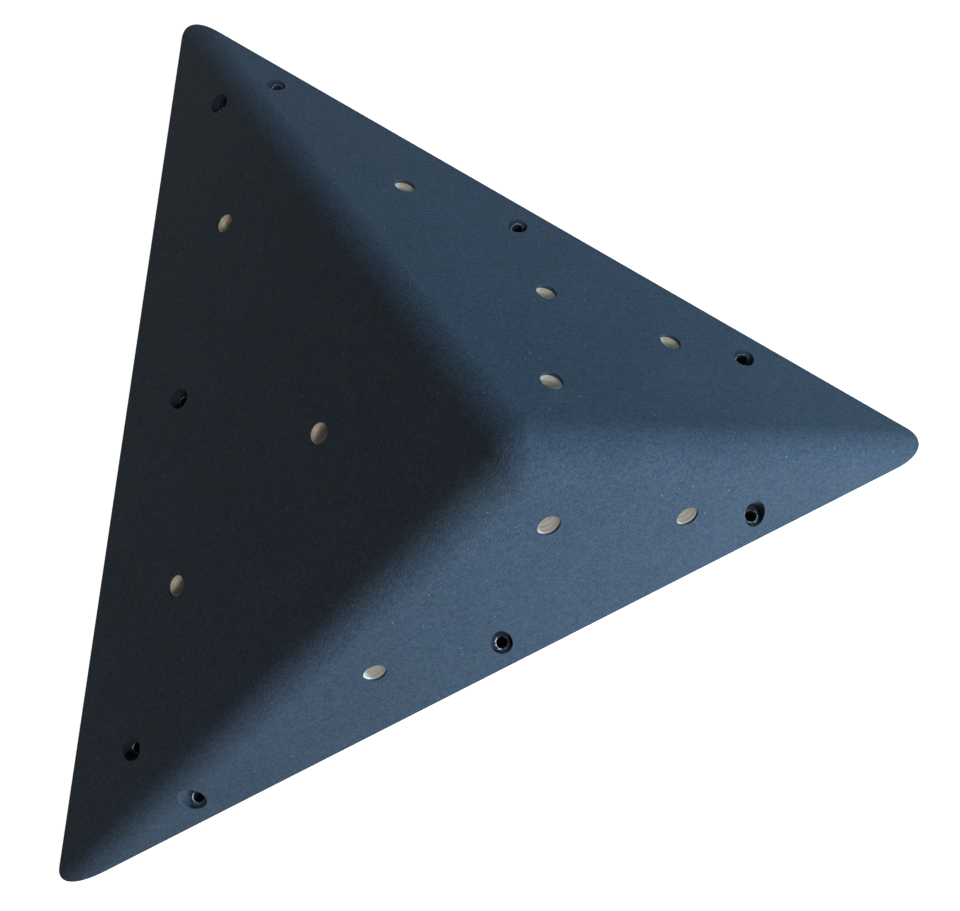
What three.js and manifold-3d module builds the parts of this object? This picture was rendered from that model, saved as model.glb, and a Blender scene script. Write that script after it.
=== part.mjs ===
import * as THREE from 'three';
import { ConvexGeometry } from 'three/addons/geometries/ConvexGeometry.js';
import * as BufferGeometryUtils from 'three/addons/utils/BufferGeometryUtils.js';
import Module from 'manifold-3d';

// Climbing volume: a hollow, low plywood pyramid with an off-centre peak, screwed flat to a climbing wall.
// Millimetres. The wall is the plane Z = 0 and +Z points out of it, towards the climber.
// The base is an equilateral triangle with one upright edge at the left (-X) and a corner at the right (+X).

// Driving dimensions of the pyramid, measured between its sharp edges, as if nothing were rounded.
const baseSide = 550;
const peakHeight = 115.2;

// Where the peak stands, from the left edge and below the middle, as shares of the base side.
const peakFromLeftShare = 0.449455;
const peakBelowShare = 0.072182;

// Radii of the rounded ridges where each meets the wall, and of the ball that rounds the peak.
const topRidgeRadius = 25;
const rightRidgeRadius = 17;
const bottomRidgeRadius = 16;
const peakRadius = 28;

// Walls: a textured coat over plywood, which stops just short of the wall.
const coatThickness = 1;
const coatLift = 0.5;
const plyThickness = 18;
const seatGap = 0.3;

// Triangular glue strips in the inner angles, below the peak where the three angles meet.
const stripLeg = 10;
const stripFromPeak = 36;

// Hold fixings: T-nuts set into the back of the plywood, in holes square to each face.
const nutHoleDiameter = 12;
const nutThreadDiameter = 9;
const nutBarrelLength = 8;
const nutFlangeDiameter = 30;
const nutFlangeThickness = 1.8;

// Small pan-head screws that keep each T-nut from turning.
const nutScrewCount = 3;
const nutScrewCircle = 22;
const screwShankDiameter = 3;
const screwHeadDiameter = 5.6;
const screwHeadHeight = 1.8;
const screwLength = 12;
const screwTipLength = 3;
const pilotClearance = 1.4;

// Wall fixings: counterbored screw holes along Z, sunk to one height above the wall and coated inside.
const seatDiameter = 12;
const seatHeight = 10;
const wallScrewDiameter = 6.5;
const leftInset = 42;
const upperInset = 19;
const lowerInset = 13.5;

// Where the T-nuts lie, as shares of the base side along each edge and of the face's slope up from that edge.
const leftNutShares = [[0.3, 0.236], [0.542, 0.56], [0.689, 0.234]];
const upperNutShares = [[0.387, 0.257], [0.585, 0.364], [0.714, 0.256], [0.65, 0.707]];
const lowerNutShares = [[0.605, 0.351], [0.402, 0.646], [0.278, 0.342]];

// Where the wall fixings lie, as shares of the base side along each edge.
const leftFixingShares = [0.148, 0.494, 0.848];
const upperFixingShares = [0.175, 0.506, 0.784];
const lowerFixingShares = [0.821, 0.489, 0.211];

// Profile of the pan head, as shares of its radius and height.
const headBrimShare = 0.45;
const headCrownShare = 0.6;

// How far cutting shapes run past what they cut, and the number of flats on round things.
const overrun = 20;
const ridgeSteps = 24;
const peakSteps = 12;
const hiddenSteps = 6;
const nutFlats = 18;
const seatFlats = 16;
const screwFlats = 8;

const coatMaterial = new THREE.MeshStandardMaterial({ color: 0x3f5468, roughness: 0.62, metalness: 0 });
const plyMaterial = new THREE.MeshStandardMaterial({ color: 0xd2b48a, roughness: 0.7, metalness: 0 });
const stripMaterial = new THREE.MeshStandardMaterial({ color: 0xcaa877, roughness: 0.75, metalness: 0 });
const nutMaterial = new THREE.MeshStandardMaterial({ color: 0xc9ccd0, roughness: 0.35, metalness: 1 });
const screwMaterial = new THREE.MeshStandardMaterial({ color: 0xd0b46c, roughness: 0.4, metalness: 1 });

const wasm = await Module();
wasm.setup();

// Turns a closed geometry into a solid that can be cut and joined.
function toSolid(geometry) {
  const bare = geometry.clone();
  bare.deleteAttribute('normal');
  bare.deleteAttribute('uv');
  const merged = BufferGeometryUtils.mergeVertices(bare);
  const mesh = new wasm.Mesh({
    numProp: 3,
    vertProperties: new Float32Array(merged.attributes.position.array),
    triVerts: new Uint32Array(merged.index.array),
  });
  return new wasm.Manifold(mesh);
}

// Turns a solid back into a geometry.
function toGeometry(solid) {
  const mesh = solid.getMesh();
  const geometry = new THREE.BufferGeometry();
  geometry.setAttribute('position', new THREE.BufferAttribute(mesh.vertProperties, 3));
  geometry.setIndex(new THREE.BufferAttribute(mesh.triVerts, 1));
  geometry.computeVertexNormals();
  return geometry;
}

// Base corners, with the middle of the base triangle at the origin.
const baseInradius = baseSide / (2 * Math.sqrt(3));
const topCorner = new THREE.Vector3(-baseInradius, baseSide / 2, 0);
const rightCorner = new THREE.Vector3(2 * baseInradius, 0, 0);
const bottomCorner = new THREE.Vector3(-baseInradius, -baseSide / 2, 0);
const peak = new THREE.Vector3(
  peakFromLeftShare * baseSide - baseInradius,
  -peakBelowShare * baseSide,
  peakHeight,
);

// A face and its own directions: along its base edge, straight up its slope, and out of it.
function makeFace(name, start, end) {
  const along = end.clone().sub(start).normalize();
  const toPeak = peak.clone().sub(start);
  const up = toPeak.clone().addScaledVector(along, -toPeak.dot(along));
  const slope = up.length();
  up.normalize();
  const out = new THREE.Vector3().crossVectors(along, up);
  out.multiplyScalar(Math.sign(out.z));
  return { name, start, along, up, slope, out };
}

const leftFace = makeFace('left', topCorner, bottomCorner);
const upperFace = makeFace('upper', topCorner, rightCorner);
const lowerFace = makeFace('lower', rightCorner, bottomCorner);

// The step that takes the peak one millimetre below all three faces at once.
const facesOut = new THREE.Matrix3().set(
  ...leftFace.out.toArray(),
  ...upperFace.out.toArray(),
  ...lowerFace.out.toArray(),
);
const sink = new THREE.Vector3(-1, -1, -1).applyMatrix3(facesOut.invert());

// A ridge runs down from the peak to a base corner, between two faces.
// One step of its inward direction goes one millimetre below both faces, square to the ridge.
function makeRidge(name, corner, faces, radius) {
  const down = corner.clone().sub(peak);
  const length = down.length();
  down.normalize();
  const inward = sink.clone().addScaledVector(down, -sink.dot(down));
  return { name, faces, radius, length, down, inward };
}

const topRidge = makeRidge('top', topCorner, [leftFace, upperFace], topRidgeRadius);
const rightRidge = makeRidge('right', rightCorner, [upperFace, lowerFace], rightRidgeRadius);
const bottomRidge = makeRidge('bottom', bottomCorner, [leftFace, lowerFace], bottomRidgeRadius);
const ridges = [topRidge, rightRidge, bottomRidge];

// Each ridge is rounded by a ball that rolls down it from the peak, touching both faces, and changes size
// evenly. This is the ball at its lowest, past the wall plane.
const peakBall = peak.clone().addScaledVector(sink, peakRadius);
function lowBall(ridge) {
  const firstPlace = peakRadius * sink.dot(ridge.down);
  const lastPlace = ridge.length + overrun / -ridge.down.z;
  const growth = (ridge.radius - peakRadius) / (ridge.length - firstPlace);
  const radius = peakRadius + growth * (lastPlace - firstPlace);
  const centre = peak.clone().addScaledVector(ridge.down, lastPlace).addScaledVector(ridge.inward, radius);
  return { centre, radius };
}

// The pyramid with its rounded ridges and peak, every face sunk by depth, down past the wall plane.
function roundedPyramid(depth, steps, capSteps) {
  const points = [];
  for (const ridge of ridges) {
    const low = lowBall(ridge);
    const axis = low.centre.clone().sub(peakBall).normalize();
    const [first, second] = ridge.faces.map(({ out }) => out.clone().addScaledVector(axis, -out.dot(axis)));
    const hinge = new THREE.Vector3().crossVectors(first, second).normalize();
    for (let step = 0; step <= steps; step += 1) {
      const angle = (first.angleTo(second) * step) / steps;
      const ray = ridge.faces[0].out.clone().applyAxisAngle(hinge, angle);
      points.push(peakBall.clone().addScaledVector(ray, peakRadius - depth));
      points.push(low.centre.clone().addScaledVector(ray, low.radius - depth));
    }
  }
  for (let row = 0; row <= capSteps; row += 1) {
    for (let column = 0; column <= capSteps - row; column += 1) {
      const ray = new THREE.Vector3()
        .addScaledVector(leftFace.out, row)
        .addScaledVector(upperFace.out, column)
        .addScaledVector(lowerFace.out, capSteps - row - column)
        .normalize();
      points.push(peakBall.clone().addScaledVector(ray, peakRadius - depth));
    }
  }
  return toSolid(new ConvexGeometry(points));
}

// The pyramid with sharp ridges, every face sunk by depth, down past the wall plane.
function sharpPyramid(depth) {
  const tip = peak.clone().addScaledVector(sink, depth);
  const feet = ridges.map(({ down }) => tip.clone().addScaledVector(down, (tip.z + overrun) / -down.z));
  return toSolid(new ConvexGeometry([tip, ...feet]));
}

// All the space from a given height up.
function spaceAbove(height) {
  const block = new THREE.BoxGeometry(2 * baseSide, 2 * baseSide, 2 * peakHeight);
  block.translate(0, 0, peakHeight + height);
  return toSolid(block);
}

// The panel that fills a face, with its T-nuts and wall fixings.
// A T-nut's frame stands on the outer face, with Y out of it and Z up its slope.
function makePanel(face, ends, nutShares, fixingShares, inset) {
  const nutFrames = nutShares.map(([alongShare, upShare]) => {
    const side = new THREE.Vector3().crossVectors(face.out, face.up);
    const place = face.start.clone();
    place.addScaledVector(face.along, alongShare * baseSide).addScaledVector(face.up, upShare * face.slope);
    return new THREE.Matrix4().makeBasis(side, face.out, face.up).setPosition(place);
  });
  const inward = new THREE.Vector3(face.up.x, face.up.y, 0).normalize();
  const fixings = fixingShares.map((share) => {
    const place = face.start.clone().addScaledVector(face.along, share * baseSide);
    return place.addScaledVector(inward, inset);
  });
  return { face, ends, nutFrames, fixings };
}

const panels = [
  makePanel(leftFace, [topRidge, bottomRidge], leftNutShares, leftFixingShares, leftInset),
  makePanel(upperFace, [topRidge, rightRidge], upperNutShares, upperFixingShares, upperInset),
  makePanel(lowerFace, [rightRidge, bottomRidge], lowerNutShares, lowerFixingShares, lowerInset),
];

// Depths below the outer surface of a face: where the plywood starts, and its back.
const plyDepth = coatThickness + seatGap;
const backDepth = plyDepth + plyThickness;

// Heights above the back of a panel: the back of a T-nut's flange, the heads of its screws and their points.
const flangeBack = -seatGap - nutFlangeThickness;
const headSeat = flangeBack - seatGap;
const pointHeight = headSeat + screwLength;

// A round bar along Y from one height to another.
function bar(low, high, diameter, flats) {
  const cylinder = new THREE.CylinderGeometry(diameter / 2, diameter / 2, high - low, flats);
  return cylinder.translate(0, (high + low) / 2, 0);
}

// A round bar along Z on the axis of a wall fixing.
function fixingBar(place, low, high, diameter) {
  const upright = bar(low, high, diameter, seatFlats).rotateX(Math.PI / 2);
  return toSolid(upright.translate(place.x, place.y, 0));
}

// A round bar on the axis of a T-nut.
function nutBar(frame, low, high, diameter) {
  return toSolid(bar(low, high, diameter, nutFlats).applyMatrix4(frame));
}

// The small screws of a T-nut stand around its axis, the first one uphill.
const screwTurns = Array.from({ length: nutScrewCount }, (_, index) => (2 * Math.PI * index) / nutScrewCount);
function atScrew(geometry, turn) {
  return geometry.translate(0, 0, nutScrewCircle / 2).rotateY(turn);
}

const group = new THREE.Group();

function addPiece(name, geometry, material) {
  const piece = new THREE.Mesh(geometry, material);
  piece.name = name;
  group.add(piece);
  return piece;
}

// The textured coat is one skin over all three panels. It lines the seats of the wall screws, and the holes
// of the T-nuts are drilled through it.
function makeCoat() {
  const top = peakHeight + overrun;
  const full = roundedPyramid(0, ridgeSteps, peakSteps).intersect(spaceAbove(coatLift));
  let coat = full.subtract(roundedPyramid(coatThickness, hiddenSteps, hiddenSteps));
  for (const place of panels.flatMap(({ fixings }) => fixings)) {
    const lining = fixingBar(place, seatHeight - coatThickness, top, seatDiameter + 2 * coatThickness);
    coat = coat.add(full.intersect(lining));
  }
  for (const place of panels.flatMap(({ fixings }) => fixings)) {
    coat = coat.subtract(fixingBar(place, seatHeight, top, seatDiameter));
    coat = coat.subtract(fixingBar(place, -overrun, top, wallScrewDiameter));
  }
  for (const frame of panels.flatMap(({ nutFrames }) => nutFrames)) {
    coat = coat.subtract(nutBar(frame, -backDepth, overrun, nutHoleDiameter));
  }
  return toGeometry(coat);
}

addPiece('grip_coat', makeCoat(), coatMaterial);

// The wedge of space that belongs to a panel, between the mitres at its two ridges.
function mitreWedge({ face, ends }) {
  const reach = 3 * baseSide;
  const mitres = ends.map(({ down }) => {
    const normal = new THREE.Vector3().crossVectors(sink, down).normalize();
    return normal.multiplyScalar(Math.sign(normal.dot(face.out)));
  });
  const shift = mitres[0].clone().add(mitres[1]);
  shift.multiplyScalar(seatGap / 2 / (1 + mitres[0].dot(mitres[1])));
  const points = [];
  for (const lift of [-reach, reach]) {
    const hub = peak.clone().add(shift).addScaledVector(sink, lift / sink.length());
    points.push(hub, ...ends.map(({ down }) => hub.clone().addScaledVector(down, reach)));
  }
  return toSolid(new ConvexGeometry(points));
}

// The plywood panels: mitred against each other, sanded round under the coat and bored for the fixings.
const plyShell = roundedPyramid(plyDepth, hiddenSteps, hiddenSteps)
  .intersect(spaceAbove(0))
  .subtract(sharpPyramid(backDepth));

function makeBoard(panel) {
  const top = peakHeight + overrun;
  const lining = coatThickness + seatGap;
  let board = plyShell.intersect(mitreWedge(panel));
  for (const place of panels.flatMap(({ fixings }) => fixings)) {
    board = board.subtract(fixingBar(place, seatHeight - lining, top, seatDiameter + 2 * lining));
    board = board.subtract(fixingBar(place, -overrun, top, wallScrewDiameter));
  }
  for (const frame of panel.nutFrames) {
    board = board.subtract(nutBar(frame, -backDepth - overrun, overrun, nutHoleDiameter));
    for (const turn of screwTurns) {
      const pilot = bar(-overrun, pointHeight + pilotClearance, screwShankDiameter + 2 * seatGap, screwFlats);
      const placed = atScrew(pilot, turn).translate(0, -backDepth, 0).applyMatrix4(frame);
      board = board.subtract(toSolid(placed));
    }
  }
  return toGeometry(board);
}

for (const panel of panels) {
  addPiece(`${panel.face.name}_panel`, makeBoard(panel), plyMaterial);
}

// A glue strip lies in the inner angle of a ridge, cut flat above the wall and clear of the T-nut flanges.
function makeStrip(ridge) {
  const tip = peak.clone().addScaledVector(sink, backDepth).addScaledVector(ridge.inward, seatGap);
  const legs = ridge.faces.map(({ out }) => {
    const leg = new THREE.Vector3().crossVectors(out, ridge.down);
    return leg.multiplyScalar(Math.sign(leg.dot(ridge.inward)) * stripLeg);
  });
  const points = [];
  for (const place of [stripFromPeak, ridge.length]) {
    const corner = tip.clone().addScaledVector(ridge.down, place);
    points.push(corner, ...legs.map((leg) => corner.clone().add(leg)));
  }
  let strip = toSolid(new ConvexGeometry(points)).intersect(spaceAbove(coatLift));
  for (const frame of panels.flatMap(({ nutFrames }) => nutFrames)) {
    strip = strip.subtract(nutBar(frame, -backDepth - overrun, -backDepth, nutFlangeDiameter + 2 * seatGap));
  }
  return toGeometry(strip);
}

for (const ridge of ridges) {
  addPiece(`${ridge.name}_glue_strip`, makeStrip(ridge), stripMaterial);
}

// A T-nut, its flange just off the back of the panel and its barrel up the hole.
function makeNut() {
  const boreRadius = nutThreadDiameter / 2;
  const barrelRadius = nutHoleDiameter / 2 - seatGap;
  const profile = [
    [boreRadius, flangeBack],
    [nutFlangeDiameter / 2, flangeBack],
    [nutFlangeDiameter / 2, -seatGap],
    [barrelRadius, -seatGap],
    [barrelRadius, nutBarrelLength],
    [boreRadius, nutBarrelLength],
    [boreRadius, flangeBack],
  ];
  const turned = new THREE.LatheGeometry(profile.map((point) => new THREE.Vector2(...point)), nutFlats);
  let nut = toSolid(turned);
  for (const turn of screwTurns) {
    const hole = bar(-overrun, overrun, screwShankDiameter + 2 * seatGap, screwFlats);
    nut = nut.subtract(toSolid(atScrew(hole, turn)));
  }
  return toGeometry(nut).translate(0, -backDepth, 0);
}

// A pan-head wood screw, its head just off the flange and its point towards +Y.
function makeScrew(turn) {
  const shankRadius = screwShankDiameter / 2;
  const headRadius = screwHeadDiameter / 2;
  const profile = [
    [0, -screwHeadHeight],
    [headRadius * headCrownShare, -screwHeadHeight],
    [headRadius, -screwHeadHeight * headBrimShare],
    [headRadius, 0],
    [shankRadius, 0],
    [shankRadius, screwLength - screwTipLength],
    [0, screwLength],
  ];
  const turned = new THREE.LatheGeometry(profile.map((point) => new THREE.Vector2(...point)), screwFlats);
  const placed = atScrew(turned.translate(0, headSeat - backDepth, 0), turn);
  return toGeometry(toSolid(placed));
}

const nutGeometry = makeNut();
for (const { face, nutFrames } of panels) {
  nutFrames.forEach((frame, index) => {
    const name = `${face.name}_t_nut_${index + 1}`;
    addPiece(name, nutGeometry, nutMaterial).applyMatrix4(frame);
    screwTurns.forEach((turn, place) => {
      addPiece(`${name}_screw_${place + 1}`, makeScrew(turn), screwMaterial).applyMatrix4(frame);
    });
  });
}

// The finished volume stands on the wall plane, over the middle of its outline.
const middle = new THREE.Box3().setFromObject(group).getCenter(new THREE.Vector3());
group.position.set(-middle.x, -middle.y, 0);

export default group;
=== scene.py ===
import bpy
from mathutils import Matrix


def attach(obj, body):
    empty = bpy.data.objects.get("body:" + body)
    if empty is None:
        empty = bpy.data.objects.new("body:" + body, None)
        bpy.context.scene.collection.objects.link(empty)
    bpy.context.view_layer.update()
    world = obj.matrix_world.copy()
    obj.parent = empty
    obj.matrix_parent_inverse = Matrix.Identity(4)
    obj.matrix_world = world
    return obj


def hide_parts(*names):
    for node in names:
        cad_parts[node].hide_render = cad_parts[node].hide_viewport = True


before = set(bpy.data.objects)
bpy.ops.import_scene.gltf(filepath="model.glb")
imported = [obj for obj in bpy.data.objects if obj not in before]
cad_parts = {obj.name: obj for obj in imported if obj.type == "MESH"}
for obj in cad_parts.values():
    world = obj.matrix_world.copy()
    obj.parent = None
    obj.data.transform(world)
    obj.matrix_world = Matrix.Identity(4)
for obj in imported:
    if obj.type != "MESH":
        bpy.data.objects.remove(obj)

from types import SimpleNamespace

import bmesh
import bpy
import numpy as np
from bpy.props import FloatProperty, FloatVectorProperty, PointerProperty
from bpy.types import Operator, Panel, PropertyGroup
from mathutils import Matrix, Vector
from mathutils.geometry import delaunay_2d_cdt

# Climbing volume: a hollow plywood pyramid in a gritty coat. It lies on the wall plane Z = 0, with +Z out of
# the wall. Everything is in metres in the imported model's frame.

bl_info = {
    "name": "Climbing volume",
    "version": (1, 0, 0),
    "blender": (4, 5, 0),
    "location": "3D View > Sidebar > Volume",
    "description": "Builds the coat, panels, strips, T-nuts and screws of a climbing volume",
    "category": "Add Mesh",
}

MM = 0.001

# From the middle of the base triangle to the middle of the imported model.
FRAME_SHIFT = np.array([-73.95336, 0.40625, 0.0]) * MM

# T-nuts: shares of the base side along each edge, and of the slope up from it.
NUT_SHARES = {
    "left": [(0.3, 0.236), (0.542, 0.56), (0.689, 0.234)],
    "upper": [(0.387, 0.257), (0.585, 0.364), (0.714, 0.256), (0.65, 0.707)],
    "lower": [(0.605, 0.351), (0.402, 0.646), (0.278, 0.342)],
}
# Wall fixings: shares of the base side along each edge.
FIXING_SHARES = {
    "left": [0.148, 0.494, 0.848],
    "upper": [0.175, 0.506, 0.784],
    "lower": [0.821, 0.489, 0.211],
}
# How far the wall fixings stand in from each edge.
FIXING_INSETS = {"left": 42 * MM, "upper": 19 * MM, "lower": 13.5 * MM}
# The peak: shares of the base side from the left edge and below the middle.
PEAK_SHARES = (0.449455, 0.072182)
# Each face's edge on the wall and each ridge's faces.
FACE_ENDS = {"left": ("top", "bottom"), "upper": ("top", "right"), "lower": ("right", "bottom")}
RIDGE_FACES = {"top": ("left", "upper"), "right": ("upper", "lower"), "bottom": ("left", "lower")}
# Where the coat is broken round each wall screw's hole, which also places its painted glint: degrees from +X
# towards +Y, and how widely.
BROKEN_AND_GLINT_SIDES = {
    "left": [(135, 0.6), (135, 0.9), (225, 1.0)],
    "upper": [(100, 0.15), (90, 0.35), (180, 0.3)],
    "lower": [(200, 0.6), (215, 1.0), (320, 0.9)],
}

# How finely round things are divided.
RING = 64
RIDGE_ROWS = 32
NUT_SCREWS = 3

# How far shapes that are cut later run past the cut.
PAST = 20 * MM

# The model's own axes.
UPRIGHT = np.eye(3)

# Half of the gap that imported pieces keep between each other.
HALF_GAP = 0.15 * MM
GAP = 2 * HALF_GAP


def linear(code):
    """Turns an sRGB hex value into linear red, green, blue and a full alpha."""
    shares = np.array([int(code[i : i + 2], 16) for i in (1, 3, 5)]) / 255
    curve = np.where(shares <= 0.04045, shares / 12.92, ((shares + 0.055) / 1.055) ** 2.4)
    return (*curve.tolist(), 1.0)


class VolumeForm(PropertyGroup):
    """Sizes of the volume."""

    base_side: FloatProperty(
        name="Base side", description="Side of the base triangle between its sharp corners",
        default=0.55, unit="LENGTH",
    )
    peak_height: FloatProperty(
        name="Peak height", description="Height of the peak as if it weren't rounded",
        default=0.1152, unit="LENGTH",
    )
    peak_radius: FloatProperty(
        name="Peak radius", description="Radius of the ball that rounds the peak",
        default=0.028, unit="LENGTH",
    )
    top_radius: FloatProperty(
        name="Top ridge radius", description="Radius of the ridge to the top corner where it meets the wall",
        default=0.025, unit="LENGTH",
    )
    right_radius: FloatProperty(
        name="Right ridge radius",
        description="Radius of the ridge to the right corner where it meets the wall",
        default=0.017, unit="LENGTH",
    )
    bottom_radius: FloatProperty(
        name="Bottom ridge radius",
        description="Radius of the ridge to the bottom corner where it meets the wall",
        default=0.016, unit="LENGTH",
    )
    coat_thickness: FloatProperty(
        name="Coat thickness", description="Thickness of the gritty coat", default=0.001, unit="LENGTH",
    )
    coat_lift: FloatProperty(
        name="Coat lift", description="Height of the coat's lower edge above the wall",
        default=0.0005, unit="LENGTH",
    )
    ply_thickness: FloatProperty(
        name="Plywood thickness", description="Thickness of the birch plywood", default=0.018, unit="LENGTH",
    )
    hold_hole: FloatProperty(
        name="Hold hole", description="Diameter of the holes that lead to the T-nuts",
        default=0.012, unit="LENGTH",
    )
    seat_hole: FloatProperty(
        name="Screw seat", description="Diameter of the seats of the wall screws",
        default=0.012, unit="LENGTH",
    )
    seat_height: FloatProperty(
        name="Seat height", description="Height of the seats above the wall", default=0.01, unit="LENGTH",
    )
    wall_screw_hole: FloatProperty(
        name="Wall screw hole", description="Diameter of the holes for the wall screws",
        default=0.0065, unit="LENGTH",
    )


class VolumeColours(PropertyGroup):
    """Colours of the finishes."""

    coat: FloatVectorProperty(
        name="Coat", description="Slate blue of the gritty coat", subtype="COLOR", size=3,
        default=linear("#3A454F")[:3], min=0, max=1,
    )
    birch: FloatVectorProperty(
        name="Birch", description="Raw birch plywood", subtype="COLOR", size=3,
        default=linear("#F4EBDB")[:3], min=0, max=1,
    )


def unit(vectors):
    """Vectors scaled to length one along their last axis."""
    return vectors / np.linalg.norm(vectors, axis=-1, keepdims=True)


def circle(count):
    """Angles of evenly spaced points round a circle, and the points on the unit circle."""
    angle = np.arange(count) * 2 * np.pi / count
    return angle, np.stack([np.cos(angle), np.sin(angle)], axis=1)


def spokes_in(axes, count):
    """Unit spokes round the third of three axes, evenly spaced from the first towards the second."""
    _, ring = circle(count)
    return ring[:, :1] * axes[0] + ring[:, 1:] * axes[1]


def raised(plan, heights):
    """Points of the plan in space, at one height or at one for each."""
    return np.concatenate([plan, np.broadcast_to(heights, len(plan))[:, None]], axis=1)


def turns_round(outline, plan):
    """For each edge of an outline and each point: above zero where the point is on the edge's left.

    It is the cross product of the edge and the way from its start to the point.
    """
    first = outline[:, None]
    edge = np.roll(outline, -1, axis=0)[:, None] - first
    return edge[..., 0] * (plan[:, 1] - first[..., 1]) - edge[..., 1] * (plan[:, 0] - first[..., 0])


# Form of the pyramid

def pyramid(form):
    """The planes, ridges and peak ball of the volume, as the CAD source works them out.

    A ball rolls down each ridge from the peak, touching both faces, and changes size evenly. The faces are
    the planes that the balls touch, the ridges are the cones round them, and the peak is the first ball.
    """
    side = form.base_side
    inradius = side / (2 * np.sqrt(3))
    corners = {
        "top": np.array([-inradius, side / 2, 0.0]) + FRAME_SHIFT,
        "right": np.array([2 * inradius, 0.0, 0.0]) + FRAME_SHIFT,
        "bottom": np.array([-inradius, -side / 2, 0.0]) + FRAME_SHIFT,
    }
    from_left, below = PEAK_SHARES
    peak = np.array([from_left * side - inradius, -below * side, form.peak_height]) + FRAME_SHIFT
    faces = {}
    for name, ends in FACE_ENDS.items():
        first, last = ends
        start = corners[first]
        along = unit(corners[last] - start)
        up = peak - start
        slope = up - along * (up @ along)
        up = unit(slope)
        out = np.cross(along, up)
        out = out * np.sign(out[2])
        nuts = [start + along * share * side + slope * rise for share, rise in NUT_SHARES[name]]
        inward = unit(up * np.array([1, 1, 0]))
        inset = inward * FIXING_INSETS[name]
        fixings = [start + along * share * side + inset for share in FIXING_SHARES[name]]
        faces[name] = SimpleNamespace(
            name=name, start=start, along=along, up=up, out=out, side=np.cross(out, up),
            nuts=nuts, fixings=fixings, ends=ends,
        )
    outs = np.array([face.out for face in faces.values()])
    sink = np.linalg.solve(outs, -np.ones(3))
    ball = peak + sink * form.peak_radius
    ridges = {}
    radii = {"top": form.top_radius, "right": form.right_radius, "bottom": form.bottom_radius}
    for name, (first, second) in RIDGE_FACES.items():
        down = corners[name] - peak
        length = np.linalg.norm(down)
        down = down / length
        inward = sink - down * (sink @ down)
        first_place = form.peak_radius * (sink @ down)
        last_place = length + PAST / -down[2]
        growth = (radii[name] - form.peak_radius) / (length - first_place)
        low_radius = form.peak_radius + growth * (last_place - first_place)
        low = peak + down * last_place + inward * low_radius
        reach = np.linalg.norm(low - ball)
        axis = (low - ball) / reach
        flats = [faces[face].out - axis * (faces[face].out @ axis) for face in (first, second)]
        hinge = unit(np.cross(*flats))
        turn = np.arccos(unit(flats[0]) @ unit(flats[1]))
        ridges[name] = SimpleNamespace(
            name=name, faces=(first, second), down=down, length=length, low=low, low_radius=low_radius,
            axis=axis, reach=reach, axial=axis * (faces[first].out @ axis), flat=flats[0],
            turned=np.cross(hinge, flats[0]), turn=turn, inward=inward,
            growth=(low_radius - form.peak_radius) / reach,
        )
    return SimpleNamespace(
        form=form, peak=peak, faces=faces, ridges=ridges, outs=outs, sink=sink, ball=ball,
        radius=form.peak_radius, back=form.coat_thickness + GAP + form.ply_thickness,
    )


def rays(ridge, shares):
    """Outward directions across a ridge: the first face's normal turned about the ridge's axis."""
    angle = np.asarray(shares)[:, None] * ridge.turn
    return ridge.axial + np.cos(angle) * ridge.flat + np.sin(angle) * ridge.turned


def ruling(solid, ridge, ray, depth):
    """The first and last points of the straight lines down a ridge that face along the given rays."""
    first = solid.ball + ray * (solid.radius - depth)
    last = ridge.low + ray * (ridge.low_radius - depth)
    return first, last


def skin(solid, plan, depth):
    """Height and outward normal of the rounded pyramid, sunk by depth, over points of the plan.

    Over a face's flat triangle it is the plane. Elsewhere it is the highest of the peak ball and the cones,
    where a cone solves |q|^2 - s^2 = (R + k s)^2 / (1 - k^2) for the height, with q measured from the ball,
    s along the cone's axis and k the growth of its radius.
    """
    radius = solid.radius - depth
    flat = raised(plan, 0.0)
    from_ball = flat - solid.ball
    room = radius**2 - (from_ball[:, :2] ** 2).sum(1)
    height = np.where(room > 0, solid.ball[2] + np.sqrt(np.maximum(room, 0)), -1.0)
    normal = from_ball.copy()
    normal[:, 2] = height - solid.ball[2]
    normal = unit(normal)
    for ridge in solid.ridges.values():
        k = ridge.growth
        share = 1 - k * k
        axis = ridge.axis
        s0 = from_ball @ axis
        girth = radius + k * s0
        a = 1 - axis[2] ** 2 / share
        b = 2 * from_ball[:, 2] - 2 * s0 * axis[2] - 2 * girth * k * axis[2] / share
        c = (from_ball**2).sum(1) - s0**2 - girth**2 / share
        root = b * b - 4 * a * c
        z = (-b + np.sqrt(np.maximum(root, 0))) / (2 * a)
        s = s0 + z * axis[2]
        touch = (s + k * radius) / share
        on = (root > 0) & (touch >= 0) & (z > height)
        q = from_ball.copy()
        q[:, 2] += z
        spoke = unit(q - s[:, None] * axis)
        cone_normal = np.sqrt(share) * spoke - k * axis
        height = np.where(on, z, height)
        normal = np.where(on[:, None], cone_normal, normal)
    for face in solid.faces.values():
        tips = [(solid.ball + face.out * radius)[:2]]
        for end in face.ends:
            ridge = solid.ridges[end]
            tips.append((ridge.low + face.out * (ridge.low_radius - depth))[:2])
        turns = turns_round(np.array(tips), plan)
        on = (turns >= 0).all(0) | (turns <= 0).all(0)
        anchor = solid.peak - face.out * depth
        z = anchor[2] - (plan - anchor[:2]) @ face.out[:2] / face.out[2]
        height = np.where(on, z, height)
        normal = np.where(on[:, None], face.out, normal)
    return height, normal


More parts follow.
